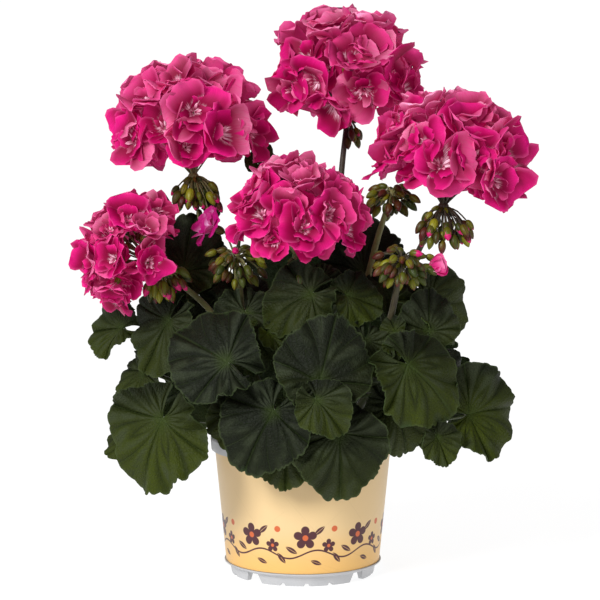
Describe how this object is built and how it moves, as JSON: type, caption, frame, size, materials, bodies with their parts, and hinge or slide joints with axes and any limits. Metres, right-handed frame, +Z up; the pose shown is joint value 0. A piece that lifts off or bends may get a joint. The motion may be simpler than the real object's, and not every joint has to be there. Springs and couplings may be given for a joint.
{
  "type": "potted geranium",
  "caption": "Zonal geranium in bloom in a tapered nursery pot, with round-toothed kidney-shaped leaves, domed magenta flower heads and umbels still in bud.",
  "frame": {"origin": "on the ground, in the middle of the pot's foot", "axes": "+Z up the plant, -Y towards the pictured side, +X to that viewer's right"},
  "size_m": [0.3183, 0.2336, 0.4074],
  "materials": {
    "pot": "satin",
    "label": "satin",
    "soil": "matte",
    "stems": "satin",
    "leaf": "satin",
    "petals": "satin",
    "flower_stalks": "satin",
    "buds": "satin"
  },
  "bodies": {
    "root": {"pot": "pot", "label": "label", "soil": "soil", "stems": "stems", "leaf_01": "leaf", "leaf_02": "leaf", "leaf_03": "leaf", "leaf_04": "leaf", "leaf_05": "leaf", "leaf_06": "leaf", "leaf_07": "leaf", "leaf_08": "leaf", "leaf_09": "leaf", "leaf_10": "leaf", "leaf_11": "leaf", "leaf_12": "leaf", "leaf_13": "leaf", "leaf_14": "leaf", "leaf_15": "leaf", "leaf_16": "leaf", "leaf_17": "leaf", "leaf_18": "leaf", "leaf_19": "leaf", "leaf_20": "leaf", "leaf_21": "leaf", "leaf_22": "leaf", "leaf_23": "leaf", "leaf_24": "leaf", "leaf_25": "leaf", "leaf_26": "leaf", "leaf_27": "leaf", "leaf_28": "leaf", "leaf_29": "leaf", "leaf_30": "leaf", "leaf_31": "leaf", "leaf_32": "leaf", "leaf_33": "leaf", "leaf_34": "leaf", "leaf_35": "leaf", "leaf_36": "leaf", "leaf_37": "leaf", "leaf_38": "leaf", "head_A_petals": "petals", "head_A_stalk": "flower_stalks", "head_B_petals": "petals", "head_B_stalk": "flower_stalks", "head_C_petals": "petals", "head_C_stalk": "flower_stalks", "head_D_petals": "petals", "head_D_stalk": "flower_stalks", "head_E_petals": "petals", "head_E_stalk": "flower_stalks", "buds_F": "buds", "buds_F_flower": "petals", "buds_G": "buds", "buds_H": "buds", "buds_H_flower": "petals"}
  },
  "joints": []
}
